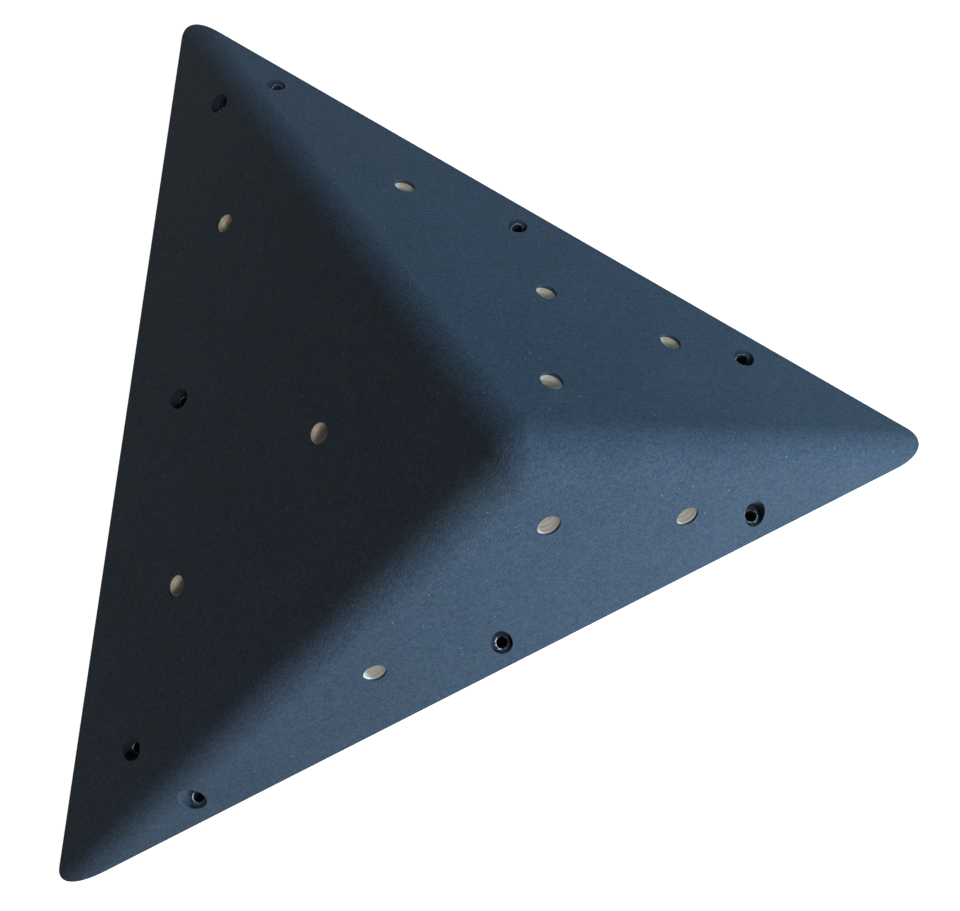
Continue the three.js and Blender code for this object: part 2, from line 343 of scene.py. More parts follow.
def contour(solid, depth, height):
    """Points and normals round the rounded pyramid, sunk by depth, at one height, anticlockwise from above.

    Each ridge gives the arc where its rulings reach the height, and straight edges join the arcs.
    """
    shares = np.linspace(0, 1, RIDGE_ROWS + 1)
    places = []
    normals = []
    for name in ("top", "bottom", "right"):
        ridge = solid.ridges[name]
        ray = rays(ridge, shares)
        first, last = ruling(solid, ridge, ray, depth)
        share = (first[:, 2] - height) / (first[:, 2] - last[:, 2])
        point = first + (last - first) * share[:, None]
        middle = point.mean(0)[:2] - solid.ball[:2]
        sweep = point[-1, :2] - point[0, :2]
        if middle[0] * sweep[1] - middle[1] * sweep[0] < 0:
            point = point[::-1]
            ray = ray[::-1]
        places.append(point)
        normals.append(ray)
    return np.concatenate(places), np.concatenate(normals)


# Mesh patches
# A patch is a smooth piece of surface: points, triangles, a normal for each point and a material index.

def patch(points, triangles, normals=None, slot=0):
    """A patch from points and triangles, whose normals are, if not given, the mean round each point."""
    points = np.asarray(points, float).reshape(-1, 3)
    if normals is None:
        keys = np.round(points / (0.0001 * MM)).astype(np.int64)
        _, same = np.unique(keys, axis=0, return_inverse=True)
        same = same.reshape(-1)
        corners = points[triangles]
        areas = np.cross(corners[:, 1] - corners[:, 0], corners[:, 2] - corners[:, 0])
        sums = np.zeros((same.max() + 1, 3))
        for corner in range(3):
            np.add.at(sums, same[triangles[:, corner]], areas)
        normals = sums[same]
        normals = normals / np.maximum(np.linalg.norm(normals, axis=1, keepdims=True), 1e-20)
    return SimpleNamespace(points=points, triangles=triangles, normals=normals, slot=slot)


def grid(points, slot=0, normals=None):
    """A patch over rows and columns of points, where the last column joins the first.

    It faces along the cross product of the way round and the way from row to row.
    """
    rows, columns = points.shape[:2]
    index = np.arange(rows * columns).reshape(rows, columns)
    turned = np.roll(index, -1, axis=1)
    a, b, c, d = index[:-1], turned[:-1], turned[1:], index[1:]
    triangles = np.concatenate([
        np.stack([a, b, c], axis=-1).reshape(-1, 3),
        np.stack([a, c, d], axis=-1).reshape(-1, 3),
    ])
    if normals is not None:
        normals = normals.reshape(-1, 3)
    return patch(points, triangles, normals, slot)


def sheet(plan, edges, rings, lift, flip=False, slot=0):
    """A patch over a plan outline with holes: Delaunay triangles, lifted by a function of the plan.

    rings are the outlines of the holes, and lift returns the points in space and their normals.
    """
    scaled = [Vector(point) for point in (plan / MM).tolist()]
    found, _, faces, _, _, _ = delaunay_2d_cdt(scaled, edges.tolist(), [], 0, 1e-6)
    places = np.array([tuple(point) for point in found]) * MM
    triangles = np.array([tuple(face) for face in faces])
    middles = places[triangles].mean(1)
    kept = np.ones(len(triangles), bool)
    for ring in rings:
        kept &= ~(turns_round(ring, middles) > 0).all(0)
    triangles = triangles[kept]
    corners = places[triangles]
    first = corners[:, 1] - corners[:, 0]
    second = corners[:, 2] - corners[:, 0]
    area = first[:, 0] * second[:, 1] - first[:, 1] * second[:, 0]
    whole = np.abs(area) > 1e-12
    triangles = triangles[whole]
    area = area[whole]
    triangles = np.where((area < 0)[:, None], triangles[:, ::-1], triangles)
    points, normals = lift(places)
    if flip:
        triangles = triangles[:, ::-1]
        normals = -normals
    return patch(points, triangles, normals, slot)


def joined(outlines):
    """Closed outlines put together: all their points, and the index pairs of their edges."""
    edges = []
    start = 0
    for outline in outlines:
        index = np.arange(len(outline))
        edges.append(np.stack([index, np.roll(index, -1)], axis=1) + start)
        start += len(outline)
    return np.concatenate(outlines), np.concatenate(edges)


def build(name, patches, finishes, nodes):
    """Welds patches into one closed mesh with their own normals at its corners, and puts it in the frame."""
    points = np.concatenate([part.points for part in patches])
    starts = np.cumsum([0] + [len(part.points) for part in patches[:-1]])
    triangles = np.concatenate([part.triangles + start for part, start in zip(patches, starts)])
    slots = np.concatenate([np.full(len(part.triangles), part.slot) for part in patches])
    normals = np.concatenate([part.normals for part in patches])
    keys = np.round(points / (0.0005 * MM)).astype(np.int64)
    _, first, same = np.unique(keys, axis=0, return_index=True, return_inverse=True)
    same = same.reshape(-1)
    welded = same[triangles]
    whole = (welded[:, 0] != welded[:, 1]) & (welded[:, 1] != welded[:, 2]) & (welded[:, 2] != welded[:, 0])
    mesh = bpy.data.meshes.new(name)
    mesh.from_pydata(points[first].tolist(), [], welded[whole].tolist())
    mesh.polygons.foreach_set("use_smooth", np.ones(whole.sum(), bool))
    mesh.normals_split_custom_set(normals[triangles[whole]].reshape(-1, 3).tolist())
    piece = place(name, mesh, finishes, nodes)
    mesh.polygons.foreach_set("material_index", slots[whole].astype(np.int32))
    return piece


def place(name, mesh, finishes, nodes):
    """Links a finished mesh as a piece of the object: materials, body and the nodes it stands for."""
    mesh.materials.clear()
    for finish in finishes:
        mesh.materials.append(finish)
    piece = bpy.data.objects.new(name, mesh)
    bpy.context.scene.collection.objects.link(piece)
    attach(piece, "root")
    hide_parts(*nodes)
    return piece


def turn_profile(profile, columns=RING, centre=(0.0, 0.0, 0.0), axes=UPRIGHT):
    """A patch from a profile of radius and height, turned about a centre and the third of the axes."""
    profile = np.asarray(profile, float)
    spokes = spokes_in(axes, columns)
    points = centre + profile[:, None, :1] * spokes[None] + profile[:, None, 1:] * axes[2]
    return grid(points)


def arc(centre, radii, start, end, steps):
    """Points on an ellipse's arc: centre plus radii times cosine and sine, from start to end in degrees."""
    angle = np.radians(np.linspace(start, end, steps))
    return np.stack([centre[0] + radii[0] * np.cos(angle), centre[1] + radii[1] * np.sin(angle)], axis=1)


# Grip coat
# Roundings of the rims, the lower edge and the seats' floors, then the spacing of the points on the flats and
# their distance from every edge.

LIP = 0.3 * MM
EDGE_ROUND = 0.25 * MM
FLOOR_ROUND = 0.9 * MM
LATTICE = 14 * MM
MARGIN = 1.6 * MM


def disc(centre, axes, radius, depth=0.0):
    """A ring of points round a hole's axis."""
    return centre + spokes_in(axes, RING) * radius - axes[2] * depth


def nut_axes(face):
    """Right-handed axes of a T-nut: up the slope, along it, and out of the face."""
    return np.array([face.up, face.side, face.out])


def coat_sheet(solid, depth, outline, hold_radius, seat_radius, flip):
    """The outer or inner surface of the coat over its plan, with a ring round each hole."""
    rings = []
    for face in solid.faces.values():
        for nut in face.nuts:
            rings.append(disc(nut, nut_axes(face), hold_radius, depth)[:, :2])
        for fixing in face.fixings:
            rings.append(disc(fixing, UPRIGHT, seat_radius)[:, :2])
    spots = []
    shares = np.linspace(0, 1, RIDGE_ROWS + 1)
    for ridge in solid.ridges.values():
        first, last = ruling(solid, ridge, rays(ridge, shares), depth)
        steps = np.linspace(0, 1, 44)[:, None, None]
        spots.append((first[None] + (last - first)[None] * steps).reshape(-1, 3)[:, :2])
    count = 14
    mixes = np.array([(i, j, count - i - j) for i in range(count + 1) for j in range(count + 1 - i)], float)
    cap = (solid.ball + unit(mixes @ solid.outs) * (solid.radius - depth))[:, :2]
    spots.append(cap[mixes.min(1) > 1])
    low, high = outline.min(0)[:2], outline.max(0)[:2]
    across = np.arange(low[0], high[0], LATTICE)
    tall = np.arange(low[1], high[1], LATTICE)
    lattice = np.stack(np.meshgrid(across, tall), axis=-1).reshape(-1, 2)
    on_flat = np.zeros(len(lattice), bool)
    _, normal = skin(solid, lattice, depth)
    for out in solid.outs:
        on_flat |= np.abs(normal - out).max(1) < 1e-9
    spots.append(lattice[on_flat])
    spots = np.concatenate(spots)
    rim = outline[:, :2]
    spans = np.hypot(*(np.roll(rim, -1, axis=0) - rim).T)
    real = spans > 1e-9
    kept = (turns_round(rim, spots)[real] / spans[real][:, None] > MARGIN).all(0)
    for ring in rings:
        middle = ring.mean(0)
        reach = np.linalg.norm(ring - middle, axis=1).max()
        near = np.linalg.norm(spots - middle, axis=1) < reach + 8 * MM
        gaps = np.linalg.norm(spots[near][:, None] - ring[None], axis=2).min(1)
        inside = np.linalg.norm(spots[near] - middle, axis=1) < np.linalg.norm(ring - middle, axis=1).min()
        kept[np.flatnonzero(near)[(gaps < MARGIN) | inside]] = False
    plan, edges = joined([rim] + rings)

    def lift(places):
        height, normals = skin(solid, places, depth)
        return raised(places, height), normals

    return sheet(np.concatenate([plan, spots[kept]]), edges, rings, lift, flip)


def chips(seed, side, width):
    """Widths of a ring that is broken out on one side: a wide wave round the circle and finer ones on it."""
    rng = np.random.default_rng(seed)
    angle, _ = circle(RING)
    wide = np.cos(angle - np.radians(side))
    fine = sum(rng.normal() * np.sin(k * angle + rng.uniform(0, 2 * np.pi)) for k in (4, 7, 11, 17))
    return np.clip(0.05 + 0.55 * wide + 0.16 * fine, 0, 1) * width * MM


def seat_patches(solid, fixing, seed, broken):
    """A coated screw seat: a lip, an upright wall, a floor with a chipped hole whose torn rim carries a
    painted glint, and the lining's back.
    """
    form = solid.form
    _, spokes = circle(RING)
    centre = fixing[:2]
    radius = form.seat_hole / 2
    floor = form.seat_height
    hole = form.wall_screw_hole / 2
    brim, _ = skin(solid, centre + spokes * radius, 0.0)
    lip = np.clip(0.4 * (brim - floor), 0.01 * MM, LIP)
    foot = np.clip(0.5 * (brim - lip - floor), 0.01 * MM, FLOOR_ROUND)

    def row(away, height):
        return raised(centre + spokes * np.broadcast_to(away, RING)[:, None], height)

    rows = []
    for turn in np.radians(np.linspace(0, 90, 6)):
        away = radius + LIP * (1 - np.sin(turn))
        top, _ = skin(solid, centre + spokes * away, 0.0)
        rows.append(row(away, top - lip * (1 - np.cos(turn))))
    for share in np.linspace(0, 1, 7)[1:-1]:
        rows.append(row(radius, (brim - lip) * (1 - share) + (floor + foot) * share))
    for turn in np.radians(np.linspace(0, 90, 7)):
        rows.append(row(radius - foot * (1 - np.cos(turn)), floor + foot * (1 - np.sin(turn))))
    chip = chips(seed, *broken)
    rim = hole + 0.05 * MM + chip
    sill = floor - 0.05 * MM - 0.4 * chip
    for share in (0.35, 0.7, 1.0):
        rows.append(row((radius - foot) * (1 - share) + rim * share, floor))
    wall = grid(np.array(rows))
    burr = [row(rim, floor), row(hole + 0.5 * chip, floor + 0.3 * chip), row(hole, sill)]
    # The torn burr takes the second finish, which is pale partly as chipped coat and partly as a painted
    # glint.
    torn_rim_with_painted_glint = grid(np.array(burr), 1)
    back = floor - form.coat_thickness
    bore = grid(np.array([row(hole, sill), row(hole, back)]))
    lining = radius + form.coat_thickness
    under = grid(np.array([row(hole, back), row(lining, back)]))
    inner, _ = skin(solid, centre + spokes * lining, form.coat_thickness)
    tube = grid(np.array([row(lining, back), row(lining, inner)]))
    return [wall, torn_rim_with_painted_glint, bore, under, tube]


def hold_patches(solid, face, nut):
    """The drilled edge of the coat round a hold hole: a small lip and a wall square to the face."""
    form = solid.form
    axes = nut_axes(face)
    radius = form.hold_hole / 2
    lip = [disc(nut, axes, radius + LIP * (1 - np.sin(turn)), LIP * (1 - np.cos(turn)))
           for turn in np.radians(np.linspace(0, 90, 6))]
    wall = [disc(nut, axes, radius, depth) for depth in np.linspace(LIP, form.coat_thickness, 3)[1:]]
    return [grid(np.array(lip + wall))]


def coat_patches(solid):
    """The whole coat as one closed skin: outer and inner surface, rounded lower edge and all the holes."""
    form = solid.form
    radius = form.hold_hole / 2
    centres, normals = contour(solid, EDGE_ROUND, form.coat_lift + EDGE_ROUND)
    outline = centres + normals * EDGE_ROUND
    inner, _ = contour(solid, form.coat_thickness, form.coat_lift)
    down = np.array([0.0, 0.0, -1.0])
    rows = []
    for share in np.linspace(0, 1, 7):
        angle = np.arccos(np.clip(normals @ down, -1, 1))[:, None]
        turned = (np.sin((1 - share) * angle) * normals + np.sin(share * angle) * down) / np.sin(angle)
        rows.append(centres + turned * EDGE_ROUND)
    rounding = grid(np.array(rows[::-1]))
    bottom = grid(np.array([inner, rows[-1]]))
    lining = form.seat_hole / 2 + form.coat_thickness
    patches = [
        coat_sheet(solid, 0.0, outline, radius + LIP, form.seat_hole / 2 + LIP, False),
        rounding,
        bottom,
        coat_sheet(solid, form.coat_thickness, inner, radius, lining, True),
    ]
    seed = 0
    for face in solid.faces.values():
        for nut in face.nuts:
            patches += hold_patches(solid, face, nut)
        for fixing, broken in zip(face.fixings, BROKEN_AND_GLINT_SIDES[face.name]):
            seed += 1
            patches += seat_patches(solid, fixing, seed, broken)
    return patches


# Plywood panels

BOARD_DEPTH_GAP = 0.02 * MM


def screw_spots(face, nut):
    """Where the axes of a T-nut's screws cross the face, round the nut's own point."""
    _, ring = circle(NUT_SCREWS)
    return [nut + (x * face.up + y * face.side) * NUT_SCREW_CIRCLE / 2 for x, y in ring]


def cutter_mesh(solid, face):
    """Every hole of one panel as closed turned bodies: hold holes, screw pilots and stepped screw seats."""
    form = solid.form
    back = solid.back
    points = []
    triangles = []
    count = 0
    bodies = []
    axes = nut_axes(face)
    for nut in face.nuts:
        radius = form.hold_hole / 2
        bodies.append(([(0, -back - PAST), (radius, -back - PAST), (radius, PAST), (0, PAST)], nut, axes))
        pilot = SCREW_SHANK / 2 + GAP
        floor = -back + PILOT_DEPTH
        profile = [(0, -back - PAST), (pilot, -back - PAST), (pilot, floor - pilot), (0, floor)]
        bodies += [(profile, spot, axes) for spot in screw_spots(face, nut)]
    lining = form.seat_hole / 2 + form.coat_thickness + BOARD_DEPTH_GAP
    floor = form.seat_height - form.coat_thickness - BOARD_DEPTH_GAP
    hole = form.wall_screw_hole / 2
    top = form.peak_height + PAST
    for fixing in face.fixings:
        profile = [(0, -PAST), (hole, -PAST), (hole, floor), (lining, floor), (lining, top), (0, top)]
        bodies.append((profile, fixing, UPRIGHT))
    for profile, centre, body_axes in bodies:
        body = turn_profile(profile, RING, centre, body_axes)
        points.append(body.points)
        triangles.append(body.triangles + count)
        count += len(body.points)
    mesh = bpy.data.meshes.new("cutter")
    mesh.from_pydata(np.concatenate(points).tolist(), [], np.concatenate(triangles).tolist())
    cleaned = bmesh.new()
    cleaned.from_mesh(mesh)
    bmesh.ops.remove_doubles(cleaned, verts=cleaned.verts, dist=0.001 * MM)
    bmesh.ops.dissolve_degenerate(cleaned, edges=cleaned.edges, dist=0.001 * MM)
    cleaned.to_mesh(mesh)
    cleaned.free()
    return mesh


def board_mesh(solid, face):
    """A panel before drilling: the hull of its rounded outer surface and its flat back, cut off at the wall.

    Its outer points follow the rulings from the flat to the mitre, and its mitres stand half a gap off the
    ridge planes, which hold the ridges' axes.
    """
    depth = solid.form.coat_thickness + BOARD_DEPTH_GAP
    tip = solid.peak + solid.sink * solid.back
    points = []
    mitres = []
    ends = [solid.ridges[name] for name in face.ends]
    for ridge in ends:
        mitre = unit(np.cross(solid.sink, ridge.down))
        mitre = mitre * np.sign(mitre @ face.out)
        mitres.append(mitre)
        start = 0.0 if ridge.faces[0] == face.name else 1.0
        ray = rays(ridge, np.linspace(start, 0.5, 15))
        first, last = ruling(solid, ridge, ray, depth)
        points += [first + mitre * HALF_GAP, last + mitre * HALF_GAP]
        points.append((tip + ridge.down * (ridge.length + PAST) + mitre * HALF_GAP)[None])
    shift = (mitres[0] + mitres[1]) * HALF_GAP / (1 + mitres[0] @ mitres[1])
    mids = [rays(ridge, [0.5])[0] for ridge in ends]
    corners = np.array([face.out, mids[0], unit(-solid.sink), mids[1]])
    cap = []
    for u in np.linspace(0, 1, 11):
        for v in np.linspace(0, 1, 11):
            mix = (1 - u) * (1 - v) * corners[0] + u * (1 - v) * corners[1] + u * v * corners[2]
            cap.append(mix + (1 - u) * v * corners[3])
    points.append(solid.ball + unit(np.array(cap)) * (solid.radius - depth) + shift)
    points.append((tip + shift)[None])
    shape = bmesh.new()
    for point in np.concatenate(points):
        shape.verts.new(point.tolist())
    hull = bmesh.ops.convex_hull(shape, input=shape.verts)
    unused = hull["geom_interior"] + hull["geom_unused"]
    spare = {item for item in unused if isinstance(item, bmesh.types.BMVert)}
    bmesh.ops.delete(shape, geom=list(spare), context="VERTS")
    cut = bmesh.ops.bisect_plane(
        shape, geom=shape.verts[:] + shape.edges[:] + shape.faces[:], plane_co=(0, 0, 0), plane_no=(0, 0, -1),
        clear_outer=True,
    )
    rim = [item for item in cut["geom_cut"] if isinstance(item, bmesh.types.BMEdge)]
    bmesh.ops.contextual_create(shape, geom=rim)
    bmesh.ops.remove_doubles(shape, verts=shape.verts, dist=0.001 * MM)
    bmesh.ops.recalc_face_normals(shape, faces=shape.faces)
    mesh = bpy.data.meshes.new(f"{face.name}_board")
    shape.to_mesh(mesh)
    shape.free()
    return mesh


def drilled(board, cutter):
    """The board with the cutter's bodies taken out of it by a Boolean modifier."""
    body = bpy.data.objects.new("board", board)
    tool = bpy.data.objects.new("drill", cutter)
    for item in (body, tool):
        bpy.context.scene.collection.objects.link(item)
    change = body.modifiers.new("holes", "BOOLEAN")
    change.object = tool
    change.operation = "DIFFERENCE"
    change.solver = "EXACT"
    bpy.context.view_layer.update()
    finished = bpy.data.meshes.new_from_object(body.evaluated_get(bpy.context.evaluated_depsgraph_get()))
    for item in (body, tool):
        bpy.data.objects.remove(item)
    return finished


def in_screw_holes(solid, face, mesh):
    """Which polygons of a board line its holes for the wall screws."""
    middles = np.zeros(3 * len(mesh.polygons))
    mesh.polygons.foreach_get("center", middles)
    plan = middles.reshape(-1, 3)[:, :2]
    reach = solid.form.wall_screw_hole / 2 + 0.05 * MM
    away = [np.linalg.norm(plan - fixing[:2], axis=1) for fixing in face.fixings]
    return np.min(away, axis=0) < reach


def smooth_by_angle(mesh, degrees):
    """Smooth shading, with edges sharper than the angle kept hard."""
    mesh.polygons.foreach_set("use_smooth", np.ones(len(mesh.polygons), bool))
    mesh.set_sharp_from_angle(angle=np.radians(degrees))


# T-nuts and their screws
# Diameters, but for what is called a depth, a pitch, a length, a height or a thickness.

NUT_THREAD = 9 * MM
NUT_THREAD_DEPTH = 0.42 * MM
NUT_PITCH = 1.5 * MM
NUT_BARREL = 8 * MM
NUT_FLANGE = 30 * MM
NUT_FLANGE_THICKNESS = 1.8 * MM
NUT_SCREW_CIRCLE = 22 * MM
SCREW_SHANK = 3 * MM
SCREW_HEAD = 5.6 * MM
SCREW_HEAD_HEIGHT = 1.8 * MM
SCREW_LENGTH = 12 * MM
SCREW_TIP = 3 * MM
SCREW_PITCH = 1.35 * MM
SCREW_THREAD_DEPTH = 0.35 * MM
PILOT_DEPTH = 11 * MM
# Each screw has stopped a little further round than the last, in radians.
SCREW_TWIST = 0.61


def thread_rows(radius, depth, pitch, heights, columns, inward):
    """Rows of a thread: the radius waves with height minus the turn, one wave per pitch.

    The wave is a flattened ridge, and inward says whether the ridges grow towards the axis.
    """
    angle, _ = circle(columns)
    wave = (heights[:, None] / pitch - angle[None] / (2 * np.pi)) % 1.0
    ridge = np.clip(1.6 - 3.2 * np.abs(wave - 0.5), 0, 1)
    return radius - depth * ridge if inward else radius + depth * (ridge - 1)


def wavy_rings(radius, heights):
    """A patch of rings round z, one at each height, whose radius changes on the way round."""
    count, columns = radius.shape
    _, spokes = circle(columns)
    tall = np.broadcast_to(heights[:, None, None], (count, columns, 1))
    return grid(np.concatenate([radius[:, :, None] * spokes[None], tall], axis=2))


def nut_patches(form):
    """A flanged T-nut in its own frame: x up the slope, y along it, z out, with its back flange below zero.

    A profile is turned round the axis, the flange's faces are flat sheets with three screw holes, and the
    bore is a ring whose radius follows the thread.
    """
    back = -GAP - NUT_FLANGE_THICKNESS
    front = -GAP
    rim = NUT_FLANGE / 2
    round_edge = 0.5 * MM
    barrel = form.hold_hole / 2 - GAP
    bore = NUT_THREAD / 2
    major = bore + NUT_THREAD_DEPTH / 2
    fillet = 0.25 * MM
    _, spokes = circle(RING)
    holes = circle(NUT_SCREWS)[1] * NUT_SCREW_CIRCLE / 2
    hole_radius = SCREW_SHANK / 2 + GAP
    bevel = 0.3 * MM
    patches = []
    for height, inner, flip in ((back, major + bevel, True), (front, barrel + fillet, False)):
        rings = [spokes * inner] + [centre + spokes * (hole_radius + bevel) for centre in holes]

        def lift(places, height=height):
            return raised(places, height), np.tile([0.0, 0.0, 1.0], (len(places), 1))

        patches.append(sheet(*joined([spokes * (rim - round_edge)] + rings), rings, lift, flip))
    edge_profile = np.concatenate([
        arc((rim - round_edge, back + round_edge), (round_edge, round_edge), -90, 0, 6),
        arc((rim - round_edge, front - round_edge), (round_edge, round_edge), 0, 90, 6),
    ])
    patches.append(turn_profile(edge_profile))
    top = NUT_BARREL
    barrel_profile = np.concatenate([
        arc((barrel + fillet, front + fillet), (fillet, fillet), -90, -180, 5),
        [(barrel, top * 0.5)],
        arc((barrel - fillet, top - fillet), (fillet, fillet), 0, 90, 5),
        [(major + 0.1 * MM, top)],
    ])
    patches.append(turn_profile(barrel_profile))
    heights = np.arange(top - 0.15 * MM, back + bevel, -NUT_PITCH / 10)
    heights = np.concatenate([heights, [back + bevel]])
    radius = thread_rows(major, NUT_THREAD_DEPTH, NUT_PITCH, heights, RING, True)
    fade = np.minimum(1, np.minimum(top - heights, heights - back) / (1.2 * MM))[:, None]
    radius = major + (radius - major) * fade
    entry = [np.full((1, RING), major + 0.1 * MM)]
    leave = [np.full((1, RING), major + bevel)]
    radius = np.concatenate(entry + [radius] + leave)
    heights = np.concatenate([[top], heights, [back]])
    patches.append(wavy_rings(radius, heights))
    for centre in holes:
        profile = [
            (hole_radius + bevel, front), (hole_radius, front - bevel),
            (hole_radius, back + bevel), (hole_radius + bevel, back),
        ]
        patches.append(turn_profile(profile, RING, np.array([*centre, 0.0])))
    return patches


def screw_patches():
    """A small pan-head screw in its own frame, pointing along +z from the seat of its head at zero.

    The head is a polar grid: a dome, less a cross recess that is deep where either arm of the cross is near.
    The shank is a ring whose radius follows a wood thread and shrinks to a point.
    """
    columns = 40
    _, spokes = circle(columns)
    radius = SCREW_HEAD / 2
    shank = SCREW_SHANK / 2
    brim = 0.45 * SCREW_HEAD_HEIGHT
    away = np.linspace(0, 1, 19) * 0.92 * radius
    flat = away[:, None, None] * spokes[None]
    dome = brim + (SCREW_HEAD_HEIGHT - brim) * np.sqrt(np.maximum(0, 1 - (away / radius) ** 2))
    arm = 0.42 * MM
    reach = 1.5 * MM
    x, y = np.abs(flat[..., 0]), np.abs(flat[..., 1])
    near = np.minimum(np.maximum(x - reach * 0.62, y - arm), np.maximum(y - reach * 0.62, x - arm))
    near = np.maximum(near, np.hypot(x, y) - reach)
    sunk = np.clip(0.5 - near / (0.16 * MM), 0, 1) * np.clip(1.25 - np.hypot(x, y) / reach, 0, 1)
    height = -(dome[:, None] - sunk * 1.1 * MM)
    top = np.concatenate([flat, height[..., None]], axis=2)
    side_profile = np.concatenate([
        [(0.92 * radius, -dome[-1])],
        arc((radius - 0.45 * MM, -0.45 * MM), (0.45 * MM, 0.36 * MM), -60, 0, 5),
        [(radius, -0.08 * MM), (radius - 0.08 * MM, 0)],
    ])
    seat_profile = [(radius - 0.08 * MM, 0), (shank, 0)]
    heights = np.arange(0, SCREW_LENGTH, SCREW_PITCH / 8)
    wave = thread_rows(shank, SCREW_THREAD_DEPTH, SCREW_PITCH, heights, columns, False)
    start = np.clip((heights - 1.5 * MM) / MM, 0, 1)[:, None]
    body = shank + (wave - shank) * start
    taper = np.clip((SCREW_LENGTH - heights) / SCREW_TIP, 0.0, 1)[:, None]
    body = np.concatenate([body * taper, np.zeros((1, columns))])
    heights = np.concatenate([heights, [SCREW_LENGTH]])
    shaft = wavy_rings(body, heights)
    side = turn_profile(side_profile, columns)
    seat = turn_profile(seat_profile, columns)
    return [grid(top), side, seat, shaft]


def moved(patches, centre, axes):
    """Patches carried from their own frame into the model."""
    return [
        SimpleNamespace(points=centre + part.points @ axes, triangles=part.triangles,
                        normals=part.normals @ axes, slot=part.slot)
        for part in patches
    ]


# Materials

def add(tree, kind, inputs=None, **settings):
    """Adds a shader node with its settings; each input takes a value or another node's output."""
    made = tree.nodes.new("ShaderNode" + kind)
    for name, value in settings.items():
        setattr(made, name, value)
    for socket, value in (inputs or {}).items():
        if isinstance(value, bpy.types.NodeSocket):
            tree.links.new(value, made.inputs[socket])
        else:
            made.inputs[socket].default_value = value
    return made


def calculate(tree, operation, *values):
    """One step of arithmetic on up to three values."""
    return add(tree, "Math", dict(enumerate(values)), operation=operation).outputs[0]


def noise(tree, place_now, size, detail, inputs=None, **settings):
    """The level of a noise whose broadest waves have the given size."""
    inputs = {"Vector": place_now, "Scale": 1 / size, "Detail": detail, **(inputs or {})}
    return add(tree, "TexNoise", inputs, **settings).outputs["Fac"]


def remap(tree, value, before, after=(0.0, 1.0)):
    """A value carried evenly from one range to another, and held inside it."""
    return add(tree, "MapRange", {"Value": value, "From Min": before[0], "From Max": before[1],
                                  "To Min": after[0], "To Max": after[1]}).outputs[0]


def blend(tree, share, first, second, way="MIX"):
    """Two colours mixed in the given way, by the share of the second."""
    return add(tree, "Mix", {"Factor": share, 6: first, 7: second},
               data_type="RGBA", blend_type=way).outputs[2]


def laid_along(tree, place_now, start, axes):
    """Coordinates along a piece's own axes, from its own start."""
    turn = Matrix(np.array(axes).T.tolist()).to_euler("XYZ")
    return add(tree, "Mapping", {"Vector": place_now, "Location": tuple(start), "Rotation": tuple(turn)},
               vector_type="TEXTURE").outputs[0]


def drawn_out(tree, place_now, scale):
    """Coordinates scaled along each axis, which draws a pattern out where the scale is small."""
    return add(tree, "Mapping", {"Vector": place_now, "Scale": scale}).outputs[0]


def new_finish(name):
    """An empty material, its tree to fill, and the object's own coordinates."""
    finish = bpy.data.materials.new(name)
    finish.use_nodes = True
    tree = finish.node_tree
    tree.nodes.clear()
    return finish, tree, add(tree, "TexCoord").outputs["Object"]


def close(finish, shader):
    """Links the shader to the material's output and hands the finished material back."""
    add(finish.node_tree, "OutputMaterial", {"Surface": shader.outputs[0]})
    return finish


def surface(finish, colour, roughness, relief=None, specular=0.5, metallic=0.0):
    """Closes a material with its surface; relief is a height, how much of it shows and how deep it is."""
    tree = finish.node_tree
    inputs = {"Base Color": colour, "Roughness": roughness, "Specular IOR Level": specular,
              "Metallic": metallic}
    if relief:
        bump = add(tree, "Bump", dict(zip(("Height", "Strength", "Distance"), relief)))
        inputs["Normal"] = bump.outputs[0]
    return close(finish, add(tree, "BsdfPrincipled", inputs))


def shown_rays(tree):
    """One for a ray from the camera, a reflection or glass, and zero for the light on the object."""
    path = add(tree, "LightPath").outputs
    seen = calculate(tree, "MAXIMUM", path["Is Camera Ray"], path["Is Glossy Ray"])
    return calculate(tree, "MAXIMUM", seen, path["Is Transmission Ray"])


# Two-part polyurethane sprayed with mineral grit: a matt slate blue whose grains scatter small lights and
# darks. The real grains are about 0.4 mm wide. They are drawn at 1 mm, because finer ones don't show.
def sprayed_grit_coat(colours):
    finish, tree, place_now = new_finish("sprayed_grit_polyurethane")
    grain = add(tree, "TexVoronoi", {"Vector": place_now, "Scale": 1 / MM, "Randomness": 1.0}).outputs
    fine = noise(tree, place_now, 1.2 * MM, 4.0, {"Roughness": 0.75})
    broad = noise(tree, place_now, 45 * MM, 3.0)
    tone = remap(tree, fine, (0.3, 0.7), (0.9, 1.1))
    drift = remap(tree, broad, (0.3, 0.7), (0.95, 1.05))
    level = calculate(tree, "MULTIPLY", tone, drift)
    shade = blend(tree, 1.0, (*colours.coat, 1.0), level, "MULTIPLY")
    grey = add(tree, "SeparateColor", {0: grain["Color"]}).outputs[0]
    dust = blend(tree, 0.4, grey, grain["Color"])
    grains = blend(tree, 0.3, shade, dust, "OVERLAY")
    speck = add(tree, "TexVoronoi", {"Vector": place_now, "Scale": 1 / (8.5 * MM), "Randomness": 1.0}).outputs
    spot = remap(tree, speck["Distance"], (0.05, 0.03), (0.0, 0.5))
    colour = blend(tree, spot, grains, linear("#9FAFBD"))
    rough = remap(tree, fine, (0.3, 0.7), (0.54, 0.66))
    heap = calculate(tree, "MULTIPLY_ADD", grain["Distance"], -1.0, fine)
    return surface(finish, colour, rough, (heap, 1.0, 0.22 * MM), specular=0.04)


